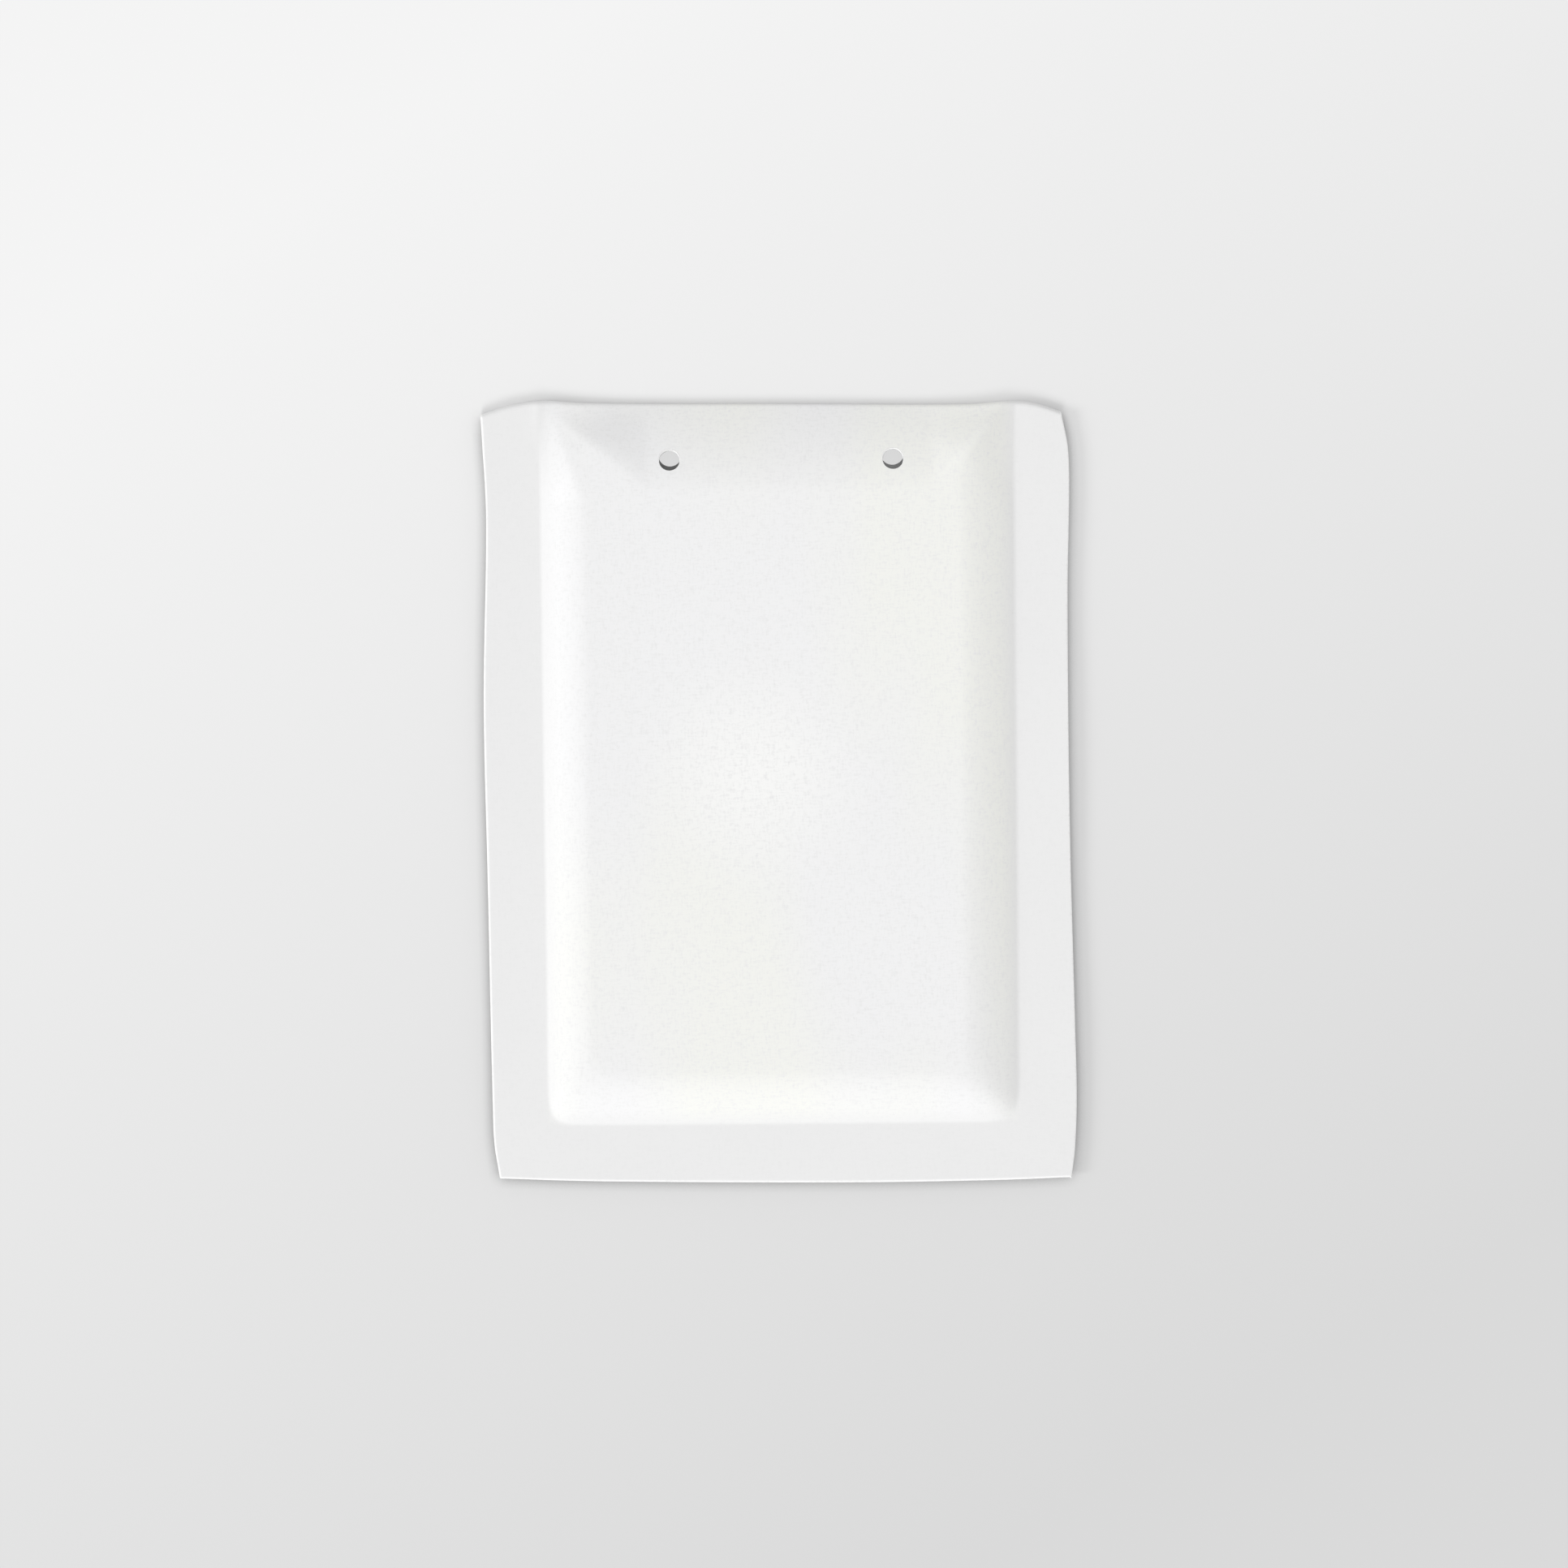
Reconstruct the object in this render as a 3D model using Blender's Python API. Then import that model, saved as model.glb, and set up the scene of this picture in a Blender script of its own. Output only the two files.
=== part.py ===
# Padded postal envelope lying on its back, front side up.
# X runs across the envelope, Y towards its folded top, Z up. Units are metres.
# Each piece is drawn with Y counted from the bottom edge and then moved down by half the
# height, so the origin is on the ground under the middle of the envelope.

import math

import bmesh
import bpy

# Driving sizes
WIDTH = 0.170               # across both side margins
HEIGHT = 0.225              # bottom edge to folded top
SIDE_MARGIN = 0.0167        # flat sealed band at each side
BOTTOM_MARGIN = 0.0172      # flat sealed band along the bottom
PAD_SHIFT = 0.0014          # pad's middle to the right of the envelope's
PAD_LEAN = 0.0007           # how far the pad's left border leans each way
PAPER = 0.0003              # sheet with the film's flat backing on it
GAP = 0.0003                # between pieces that lie on each other
SEAM_HEIGHT = 0.0028        # middle of the sealed margins above the ground
PAD_HEIGHT = 0.0088         # front of the pad above the ground
LEFT_RUN = 0.0135           # widths of the pad's sloping borders
RIGHT_RUN = 0.0165
BOTTOM_RUN = 0.0155
TOP_RUN = 0.026             # length over which the pad thins out to the fold
SLOPE_POWER = 1.6           # how much a slope eases on to the pad
CORNER_ROOM = 0.0065        # radius of the pad's flat part at its lower corners
INNER_POWER = 2.3           # how square a lower corner is, at the top of its slope
OUTER_POWER = 7.0           # and at its foot
FOLD_DIP = 0.0011           # how much lower the fold is between the ears
DIP_REACH = 0.032           # from the foot of the pad to where the fold is lowest

# Creased ears where the pad meets the fold. Each has the growth of its side slope's width,
# its top slope's length and its ridge's height, and a growth is the share of the full value
# at the tip, the length over which it grows to the full value, and a power: a slope's run
# starts faster and a ridge slower with a higher one.
LEFT_EAR = ((0.14, 0.029, 1.1), (0.01, 0.031, 0.95), (0.0, 0.024, 1.5))
RIGHT_EAR = ((0.13, 0.024, 1.7), (0.05, 0.024, 0.95), (0.12, 0.024, 0.6))
EAR_POWER = 1.06            # how sharply the creases are bent

# Flap and its closing strip
FLAP_DEPTH = 0.045          # from the fold to the flap's free edge
FLAP_INSET = 0.004          # how much the flap narrows at each side
MOUTH_SETBACK = 0.005       # back sheet's edge below the fold
BACK_STEP = 0.008           # length over which the back sheet climbs on to the flap
BACK_CLEARANCE = 0.004      # where that climb ends, below the flap's free edge
GLUE_THICKNESS = 0.0002
LINER_THICKNESS = 0.0002
GLUE_WIDTH = 0.012
LINER_WIDTH = 0.020
GLUE_FROM_EDGE = 0.008      # flap's free edge to the glue
STRIP_INSET = 0.006         # ends of the glue and liner short of the flap's sides

# Punched holes
HOLE_DIAMETER = 0.0063
HOLE_SPACING = 0.0640
HOLE_SHIFT = 0.0023         # middle of the pair to the right of the envelope's middle
HOLE_DROP = 0.0169          # hole centres below the folded top
HOLE_SIDES = 28

# Lining
LINING_INSET = 0.0045       # lining's border inside the foot of the pad
LINING_TOP_GAP = 0.007      # lining's upper edge below the fold
LINING_CORNER = 0.012       # cut off its two upper corners
POCKET_GAP = 0.0006         # between the two linings in the empty pocket
SLOPE_ALLOWANCE = 1.9       # paper measured straight down through a slope

# Outline: share of the height or width, then how far the edge bows out there
LEFT_BOW = ((0.0, -0.0049), (0.05, -0.0034), (0.10, -0.0030), (0.40, -0.0020), (0.62, -0.0013),
            (0.85, -0.0024), (0.95, -0.0015), (1.0, -0.0010))
RIGHT_BOW = ((0.0, -0.0009), (0.04, 0.0002), (0.11, 0.0008), (0.20, 0.0005), (0.47, -0.0006),
             (0.75, -0.0007), (0.89, 0.0), (0.95, -0.0004), (1.0, -0.0022))
BOTTOM_BOW = ((0.0, -0.0024), (0.2, -0.0013), (0.6, -0.0005), (0.85, -0.0008), (1.0, -0.0015))
TOP_BOW = ((0.0, -0.0031), (0.035, -0.0011), (0.066, 0.0001), (0.11, 0.0008), (0.17, 0.0001),
           (0.28, -0.0003), (0.5, -0.0006), (0.82, -0.0011), (0.90, -0.0003), (0.945, -0.0010),
           (1.0, -0.0034))
TOP_BOW_REACH = 0.022       # how far down the top's outline is felt

# Mesh spacing
SLOPE_CELLS = 8
BAND_CELLS = 2
PLATEAU_COLUMNS = 12
PLATEAU_ROWS = 14
TOP_CELLS = 10
FOLD_CELLS = 10
FLAP_CELLS = 6

# Worked out from the sizes above
FOOT = WIDTH / 2 - SIDE_MARGIN
SEAM_TOP = SEAM_HEIGHT + GAP / 2 + PAPER
SEAM_BOTTOM = SEAM_HEIGHT - GAP / 2 - PAPER
FOLD_RADIUS = SEAM_TOP / 2
GLUE_BASE = PAPER + GAP
LINER_BASE = GLUE_BASE + GLUE_THICKNESS + GAP
BACK_LIFT = LINER_BASE + LINER_THICKNESS + GAP
FLAP_EDGE = HEIGHT - FLAP_DEPTH
PUNCH_LENGTH = PAD_HEIGHT * 4

# Colour and roughness of each finish
WHITE_PAPER = ((0.86, 0.86, 0.85, 1.0), 0.55)
BUBBLE_FILM = ((0.80, 0.83, 0.85, 1.0), 0.30)
GLUE = ((0.78, 0.74, 0.62, 1.0), 0.35)
LINER_PAPER = ((0.90, 0.90, 0.88, 1.0), 0.40)
SHARP_ANGLE = math.radians(40)


def clear_scene():
    for item in list(bpy.data.objects):
        bpy.data.objects.remove(item, do_unlink=True)


def clamp(value):
    return min(max(value, 0.0), 1.0)


def ease_by(share, power):
    # Steepest at the start, level at the end
    return 1 - (1 - clamp(share)) ** power


def smooth(share):
    held = clamp(share)
    return held * held * (3 - 2 * held)


def tangent_at(points, index):
    before = points[max(index - 1, 0)]
    after = points[min(index + 1, len(points) - 1)]
    return (after[1] - before[1]) / (after[0] - before[0])


def bow_at(points, share):
    # Smooth curve through a short list of points
    held = clamp(share)
    last = len(points) - 1
    span = next(index for index in range(last) if held <= points[index + 1][0])
    (start, low), (end, high) = points[span], points[span + 1]
    run = end - start
    along = (held - start) / run
    leave = tangent_at(points, span) * run
    arrive = tangent_at(points, span + 1) * run
    bend = (1 + 2 * along) * (1 - along) ** 2 * low + along ** 2 * (3 - 2 * along) * high
    return bend + along * (1 - along) ** 2 * leave - along ** 2 * (1 - along) * arrive


def spread(start, end, count):
    return [start + (end - start) * step / count for step in range(count)]


def place(x, y):
    # Moves a point of the plain rectangle to its place inside the wavy outline
    across = x / WIDTH + 0.5
    up = y / HEIGHT
    margin_share = clamp((abs(x) - FOOT) / SIDE_MARGIN)
    outward = bow_at(RIGHT_BOW, up) if x > 0 else -bow_at(LEFT_BOW, up)
    lean = PAD_LEAN * (1 - 2 * up) * clamp(-x / FOOT)
    moved_x = x + (PAD_SHIFT + lean) * (1 - margin_share) + outward * margin_share
    bottom_share = clamp(1 - y / BOTTOM_MARGIN)
    top_share = smooth(1 - (HEIGHT - y) / TOP_BOW_REACH)
    moved_y = y - bow_at(BOTTOM_BOW, across) * bottom_share + bow_at(TOP_BOW, across) * top_share
    return moved_x, moved_y


def side_run(x):
    return RIGHT_RUN if x > 0 else LEFT_RUN


def pad_share(x, y, run):
    # 0 on the margins, 1 on the flat of the pad; a lower corner is square at its foot, rounder above
    room = 1 + CORNER_ROOM / BOTTOM_RUN
    side = 1 - clamp((FOOT - abs(x)) / (run * room))
    bottom = 1 - clamp((y - BOTTOM_MARGIN) / (BOTTOM_RUN * room))
    outer = smooth((math.hypot(side, bottom) - 1) * room + 1)
    power = INNER_POWER + (OUTER_POWER - INNER_POWER) * outer
    reach = (side ** power + bottom ** power) ** (1 / power)
    return clamp((1 - reach) * room)


def grown(growth, distance):
    # Share of a full value at a distance from an ear's tip
    tip, length, ease = growth
    return tip + (1 - tip) * ease_by(distance / length, ease)


def swollen(growth, distance):
    # The same for a ridge, which leaves its tip and ends level
    tip, length, power = growth
    return tip + (1 - tip) * smooth(distance / length) ** power


def front_height(x, y):
    # Outer face of the front sheet, down to the top of the fold
    side_growth, top_growth, ridge_growth = RIGHT_EAR if x > 0 else LEFT_EAR
    below = HEIGHT - y
    inward = FOOT - abs(x)
    run = side_run(x) * grown(side_growth, below)
    top_run = TOP_RUN * grown(top_growth, inward)
    from_tip = (max(inward, 0) + below) * math.sqrt(0.5)
    power = EAR_POWER + (SLOPE_POWER - EAR_POWER) * clamp(from_tip / ridge_growth[1])
    ridge = swollen(ridge_growth, from_tip)
    top = ease_by(below / top_run, power)
    share = ease_by(pad_share(x, y, run), power) * top * ridge
    dip = FOLD_DIP * smooth(inward / DIP_REACH) * (1 - top)
    return SEAM_TOP + (PAD_HEIGHT - SEAM_TOP) * share - dip


def back_height(x, y):
    # Outer face of the back sheet, which climbs over the flap and its strips
    climb_start = FLAP_EDGE - BACK_CLEARANCE - BACK_STEP
    rest = BACK_LIFT * smooth((y - climb_start) / BACK_STEP)
    share = ease_by(pad_share(x, y, side_run(x)), SLOPE_POWER)
    return SEAM_BOTTOM + (rest - SEAM_BOTTOM) * share


def pocket_height(x, y):
    # Middle of the empty pocket between the linings
    return (front_height(x, y) + back_height(x, y)) / 2


def half_columns(half_width, run):
    # Distances from the middle, closer together over the pad's sloping border
    slope_end = FOOT - run
    places = spread(0.0, slope_end, PLATEAU_COLUMNS // 2) + spread(slope_end, FOOT, SLOPE_CELLS)
    places = [x for x in places if x < half_width]
    if half_width > FOOT:
        places += spread(FOOT, half_width, BAND_CELLS)
    return places + [half_width]


def column_places(half_width):
    # X of the mesh columns
    left = half_columns(half_width, LEFT_RUN)
    return [-x for x in reversed(left[1:])] + half_columns(half_width, RIGHT_RUN)


def row_places(low, high):
    # Y of the mesh rows between two heights
    slope_end = BOTTOM_MARGIN + BOTTOM_RUN
    top_start = HEIGHT - TOP_RUN
    rows = spread(0.0, BOTTOM_MARGIN, BAND_CELLS)
    rows += spread(BOTTOM_MARGIN, slope_end, SLOPE_CELLS)
    rows += spread(slope_end, top_start, PLATEAU_ROWS)
    rows += spread(top_start, HEIGHT, TOP_CELLS)
    inner = [y for y in rows if low < y < high]
    return [low] + inner + [high]


def grid_faces(mesh, rows):
    # Makes a skin of quads through rows of points
    placed = [[mesh.verts.new(point) for point in row] for row in rows]
    for low, high in zip(placed, placed[1:]):
        for index in range(len(low) - 1):
            mesh.faces.new((low[index], low[index + 1], high[index + 1], high[index]))
    return placed


def finish_object(name, mesh, finish):
    colour, roughness = finish
    data = bpy.data.meshes.new(name)
    mesh.to_mesh(data)
    mesh.free()
    item = bpy.data.objects.new(name, data)
    item.location.y = -HEIGHT / 2
    bpy.context.collection.objects.link(item)
    material = bpy.data.materials.new(name)
    material.use_nodes = True
    shader = material.node_tree.nodes["Principled BSDF"]
    shader.inputs["Base Color"].default_value = colour
    shader.inputs["Roughness"].default_value = roughness
    shader.inputs["Metallic"].default_value = 0.0
    data.materials.append(material)
    data.shade_smooth()
    data.set_sharp_from_angle(angle=SHARP_ANGLE)
    return item


def slab(name, rows, top, bottom, finish):
    # Closed solid between two height functions, over rows of points
    mesh = bmesh.new()
    upper = grid_faces(mesh, [[(*place(x, y), top(x, y)) for x, y in row] for row in rows])
    lower = grid_faces(mesh, [[(*place(x, y), bottom(x, y)) for x, y in row] for row in rows])
    for row in (0, -1):
        for index in range(len(rows[0]) - 1):
            mesh.faces.new((upper[row][index], upper[row][index + 1],
                            lower[row][index + 1], lower[row][index]))
    for column in (0, -1):
        for index in range(len(rows) - 1):
            mesh.faces.new((upper[index][column], upper[index + 1][column],
                            lower[index + 1][column], lower[index][column]))
    bmesh.ops.recalc_face_normals(mesh, faces=mesh.faces)
    return finish_object(name, mesh, finish)


def flap_half_width(y):
    # The flap narrows evenly from the fold to its free edge
    return WIDTH / 2 - FLAP_INSET * clamp((HEIGHT - y) / FLAP_DEPTH)


def make_front_sheet():
    # One sheet: front wall, half-turn at the top, then the flap behind
    xs = column_places(WIDTH / 2)
    fold_start = HEIGHT - FOLD_RADIUS
    rows = []
    for y in row_places(0.0, fold_start):
        rows.append([(*place(x, y), front_height(x, y)) for x in xs])
    for step in range(1, FOLD_CELLS):
        turn = math.pi * step / FOLD_CELLS
        row = []
        for x in xs:
            radius = front_height(x, fold_start) / 2
            y = fold_start + FOLD_RADIUS * math.sin(turn)
            row.append((*place(x, y), radius * (1 + math.cos(turn))))
        rows.append(row)
    for step in range(FLAP_CELLS + 1):
        y = fold_start + (FLAP_EDGE - fold_start) * step / FLAP_CELLS
        narrow = flap_half_width(y) / (WIDTH / 2)
        rows.append([(place(x, y)[0] * narrow, place(x, y)[1], 0.0) for x in xs])
    mesh = bmesh.new()
    grid_faces(mesh, rows)
    return finish_object("front_sheet", mesh, WHITE_PAPER)


def make_back_sheet():
    # Second sheet, open at the top under the fold
    xs = column_places(WIDTH / 2)
    rows = []
    for y in row_places(0.0, HEIGHT - MOUTH_SETBACK):
        rows.append([(*place(x, y), back_height(x, y)) for x in xs])
    mesh = bmesh.new()
    grid_faces(mesh, rows)
    return finish_object("back_sheet", mesh, WHITE_PAPER)


def thicken(item, offset):
    # Gives a sheet its thickness, towards the inside of the envelope
    solid = item.modifiers.new("Paper", "SOLIDIFY")
    solid.thickness = PAPER
    solid.offset = offset
    solid.use_even_offset = True


def make_lining(name, top, bottom):
    half_width = FOOT - LINING_INSET
    upper_edge = HEIGHT - LINING_TOP_GAP
    rows = []
    for y in row_places(BOTTOM_MARGIN + LINING_INSET, upper_edge):
        cut = LINING_CORNER * clamp(1 - (upper_edge - y) / LINING_CORNER)
        rows.append([(x * (1 - cut / half_width), y) for x in column_places(half_width)])
    return slab(name, rows, top, bottom, BUBBLE_FILM)


def front_lining_top(x, y):
    return front_height(x, y) - PAPER * SLOPE_ALLOWANCE - GAP


def front_lining_bottom(x, y):
    return pocket_height(x, y) + POCKET_GAP / 2


def back_lining_top(x, y):
    return pocket_height(x, y) - POCKET_GAP / 2


def back_lining_bottom(x, y):
    return back_height(x, y) + PAPER * SLOPE_ALLOWANCE + GAP


def make_strip(name, width, base, thickness, finish):
    # Flat strip along the flap
    middle = FLAP_EDGE + GLUE_FROM_EDGE + GLUE_WIDTH / 2
    low = middle - width / 2
    high = middle + width / 2
    half = flap_half_width(low) - STRIP_INSET
    mesh = bmesh.new()
    bmesh.ops.create_cube(mesh, size=1.0)
    for vert in mesh.verts:
        vert.co.x *= half * 2
        vert.co.y = middle + vert.co.y * (high - low)
        vert.co.z = base + (vert.co.z + 0.5) * thickness
    return finish_object(name, mesh, finish)


def punch_holes(items):
    # Two holes right through every layer they meet
    for side in (-1, 1):
        bpy.ops.mesh.primitive_cylinder_add(vertices=HOLE_SIDES, radius=HOLE_DIAMETER / 2,
                                            depth=PUNCH_LENGTH,
                                            location=(HOLE_SHIFT + side * HOLE_SPACING / 2,
                                                      HEIGHT / 2 - HOLE_DROP, 0))
        punch = bpy.context.object
        punch.name = "punch_left" if side < 0 else "punch_right"
        punch.hide_render = True
        punch.display_type = "WIRE"
        for item in items:
            cut = item.modifiers.new("Punched hole", "BOOLEAN")
            cut.operation = "DIFFERENCE"
            cut.object = punch


clear_scene()
front = make_front_sheet()
back = make_back_sheet()
thicken(front, -1.0)
thicken(back, 1.0)
front_lining = make_lining("front_bubble_lining", front_lining_top, front_lining_bottom)
back_lining = make_lining("back_bubble_lining", back_lining_top, back_lining_bottom)
make_strip("adhesive_strip", GLUE_WIDTH, GLUE_BASE, GLUE_THICKNESS, GLUE)
make_strip("release_liner", LINER_WIDTH, LINER_BASE, LINER_THICKNESS, LINER_PAPER)
punch_holes([front, back, front_lining, back_lining])
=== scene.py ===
import math

import bmesh
import bpy
from mathutils import Matrix, Vector, noise


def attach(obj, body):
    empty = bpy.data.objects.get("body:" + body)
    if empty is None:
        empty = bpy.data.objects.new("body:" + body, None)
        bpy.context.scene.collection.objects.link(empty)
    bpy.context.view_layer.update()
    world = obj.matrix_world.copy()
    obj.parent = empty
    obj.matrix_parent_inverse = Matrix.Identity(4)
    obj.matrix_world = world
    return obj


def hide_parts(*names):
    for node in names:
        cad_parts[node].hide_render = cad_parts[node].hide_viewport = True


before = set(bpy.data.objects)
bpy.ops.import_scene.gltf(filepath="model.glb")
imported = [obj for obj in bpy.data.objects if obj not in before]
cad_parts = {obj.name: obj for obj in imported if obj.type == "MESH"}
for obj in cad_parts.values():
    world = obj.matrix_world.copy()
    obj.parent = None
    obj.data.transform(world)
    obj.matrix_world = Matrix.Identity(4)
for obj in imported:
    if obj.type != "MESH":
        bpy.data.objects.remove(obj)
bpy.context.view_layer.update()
print("frame loaded")


# node trees

class Value:
    # a socket whose arithmetic adds Math nodes
    def __init__(self, tree, socket):
        self.tree = tree
        self.socket = socket

    def maths(self, operation, first, second):
        return self.tree.node("ShaderNodeMath", {"operation": operation}, {0: first, 1: second})

    def __add__(self, other):
        return self.maths("ADD", self, other)

    def __radd__(self, other):
        return self.maths("ADD", other, self)

    def __sub__(self, other):
        return self.maths("SUBTRACT", self, other)

    def __rsub__(self, other):
        return self.maths("SUBTRACT", other, self)

    def __mul__(self, other):
        return self.maths("MULTIPLY", self, other)

    def __rmul__(self, other):
        return self.maths("MULTIPLY", other, self)

    def __truediv__(self, other):
        return self.maths("DIVIDE", self, other)

    def __mod__(self, other):
        return self.maths("FLOORED_MODULO", self, other)

    def __lt__(self, other):
        return self.maths("LESS_THAN", self, other)


class Tree:
    # one node tree; every node in it comes from node()
    def __init__(self, nodeTree):
        self.nodeTree = nodeTree

    def node(self, kind, settings=None, sockets=None, output=0):
        made = self.nodeTree.nodes.new(kind)
        for name, setting in (settings or {}).items():
            if name == "stops":
                self.setStops(made.color_ramp, setting)
            else:
                setattr(made, name, setting)
        for key, given in (sockets or {}).items():
            if isinstance(given, Value):
                self.nodeTree.links.new(given.socket, made.inputs[key])
            else:
                made.inputs[key].default_value = given
        return Value(self, made.outputs[output]) if len(made.outputs) else made

    def other(self, value, output):
        # another output of the node that a value comes from
        return Value(self, value.socket.node.outputs[output])

    def setStops(self, ramp, stops):
        while len(ramp.elements) < len(stops):
            ramp.elements.new(0.5)
        for element, (position, colour) in zip(ramp.elements, stops):
            element.position = position
            element.color = colour

    def mixColour(self, factor, first, second):
        return self.node("ShaderNodeMix", {"data_type": "RGBA"}, {0: factor, 6: first, 7: second}, 2)

    def clamp(self, value):
        return self.node("ShaderNodeClamp", {}, {0: value})

    def vectors(self, operation, first, second, output=0):
        return self.node("ShaderNodeVectorMath", {"operation": operation}, {0: first, 1: second}, output)

    def distance(self, first, second):
        return self.vectors("DISTANCE", first, second, 1)


def newMaterial(name, fixed):
    # a Principled material with its constant sockets set
    material = bpy.data.materials.new(name)
    material.use_nodes = True
    material.node_tree.nodes.clear()
    tree = Tree(material.node_tree)
    shader = tree.node("ShaderNodeBsdfPrincipled", {}, fixed)
    tree.node("ShaderNodeOutputMaterial", {}, {0: shader})
    return material, tree, shader.socket.node


def feed(tree, shader, socketName, value):
    tree.nodeTree.links.new(value.socket, shader.inputs[socketName])


# the envelope's shape, shared by its sheets and their lining

envelope = {
    "width": 0.170,
    "height": 0.225,            # bottom edge to fold
    "sideMargin": 0.0167,
    "bottomMargin": 0.0172,
    "paper": 0.0003,
    "gap": 0.0003,              # between layers
    "seamHeight": 0.0028,       # middle of the sealed margins
    "padHeight": 0.0088,        # front of the pad
    "padShift": 0.0014,         # pad's middle to the right of the envelope's
    "padLean": 0.0007,          # how far the pad's left border leans each way
    "slopeRun": {"left": 0.0135, "right": 0.0165},
    "bottomRun": 0.0155,
    "topRun": 0.026,
    "slopePower": 1.6,          # how much a slope eases on to the pad
    "cornerRoom": 0.0065,       # radius of the pad's flat part at its lower corners
    "innerPower": 2.3,          # how square a lower corner is, at the top of its slope
    "outerPower": 7.0,          # and at its foot
    "footFillet": 0.07,         # share of a slope that eases into the margin
    "foldDip": 0.0011,          # how much lower the fold is between the ears
    "foldLean": 0.38,           # radians already turned where the rounded fold starts
    "foldCells": 16,
    "flapCells": 18,
    "edgeRoll": 0.0007,         # how far in the sealed edge is rounded
    "bareEdge": 0.0007,         # width over which the cut edge gets its painted highlight
    "curl": 0.0003,             # how far the left and bottom edges are turned down
    "curlRun": 0.0010,
    "marginWave": 0.0004,       # how much the margins rise and fall
    "marginWaves": (14, 22),    # per metre across and up
    "plateauWave": 0.00012,
    "plateauWaves": (30, 30),
}

# creased corners where the pad meets the fold
ears = {
    # share of the full value at the tip, length over which it grows to the full value, and a power:
    # with a higher one a slope's run starts faster and a ridge slower
    "left": {"sideRun": (0.14, 0.029, 1.1), "topRun": (0.01, 0.031, 0.95), "ridge": (0.0, 0.024, 1.5)},
    "right": {"sideRun": (0.13, 0.024, 1.7), "topRun": (0.05, 0.024, 0.95), "ridge": (0.12, 0.024, 0.6)},
    "power": 1.06,              # how sharply their creases are bent
    "crest": 0.00060,           # how far the right ridge stands up
    "crestReach": 0.0040,
    "crestShift": 0.0022,       # how far inside the slope's end it lies, away from the fold
    "bead": 0.00025,            # low bead along the foot of the left slope, from the fold down
    "beadWidth": 0.0016,
    "beadLength": 0.017,
    "dipReach": 0.032,          # from the pad's foot to where the fold is lowest
}

outline = {
    # share along the edge, then how far the edge bows out
    "left": ((0.0, -0.0049), (0.05, -0.0034), (0.10, -0.0030), (0.40, -0.0020), (0.62, -0.0013),
             (0.85, -0.0024), (0.95, -0.0015), (1.0, -0.0010)),
    "right": ((0.0, -0.0009), (0.04, 0.0002), (0.11, 0.0008), (0.20, 0.0005), (0.47, -0.0006),
              (0.75, -0.0007), (0.89, 0.0000), (0.95, -0.0004), (1.0, -0.0022)),
    "bottom": ((0.0, -0.0024), (0.2, -0.0013), (0.6, -0.0005), (0.85, -0.0008), (1.0, -0.0015)),
    "top": ((0.0, -0.0031), (0.035, -0.0011), (0.066, 0.0001), (0.11, 0.0008), (0.17, 0.0001),
            (0.28, -0.0003), (0.5, -0.0006), (0.82, -0.0011), (0.90, -0.0003), (0.945, -0.0010),
            (1.0, -0.0034)),
    "topReach": 0.022,          # how far below the fold its own bows are felt
}

flap = {
    "depth": 0.045,
    "inset": 0.004,             # how much it narrows at each side
    "mouthSetback": 0.005,      # back sheet's edge below the fold
    "backStep": 0.008,          # length of the back sheet's climb on to it
    "backClearance": 0.004,
    "backLift": 0.0019,         # back sheet's height over it and its strips
}

punch = {"diameter": 0.0063, "spacing": 0.0640, "shift": 0.0023, "drop": 0.0169, "sides": 64, "length": 0.05}

halfWidth = envelope["width"] / 2
halfHeight = envelope["height"] / 2
foot = halfWidth - envelope["sideMargin"]
seamTop = envelope["seamHeight"] + envelope["gap"] / 2 + envelope["paper"]
seamBottom = envelope["seamHeight"] - envelope["gap"] / 2 - envelope["paper"]
foldRadius = seamTop / 2
flapEdge = envelope["height"] - flap["depth"]


def holeCentre(side):
    return punch["shift"] + side * punch["spacing"] / 2, halfHeight - punch["drop"]


# finishes

paperLook = {
    "margin": (0.838, 0.838, 0.838, 1.0),       # greyer on the sealed margins than on the pad
    "cream": (0.888, 0.892, 0.858, 1.0),
    "cool": (0.880, 0.880, 0.884, 1.0),
    "pale": (0.932, 0.932, 0.922, 1.0),         # painted highlight: lighter oval patch in the middle of the pad
    "highlightCentre": (-0.006, 0.006, 0.0088),
    "highlightRadius": 0.040,
    "paintedEdgeHighlight": (0.955, 0.955, 0.950, 1.0),      # painted highlight on the lips in the holes and along the cut edges
    "fibreShade": 0.975,        # how dark the darkest fibres are
    "fibreTurns": (0.7, -0.5),  # radians that the two layers of fibres are turned by
    "fibreStretch": 0.28,
    "roughness": 0.50,
    "fibresPerMetre": 1700.0,
    "mottlePerMetre": 18.0,
    "cocklePerMetre": 55.0,
    "fibreDepth": 0.000030,
    "cockleDepth": 0.00016,
    "padFade": 0.005,           # width over which the margin's grey ends
}


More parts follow.
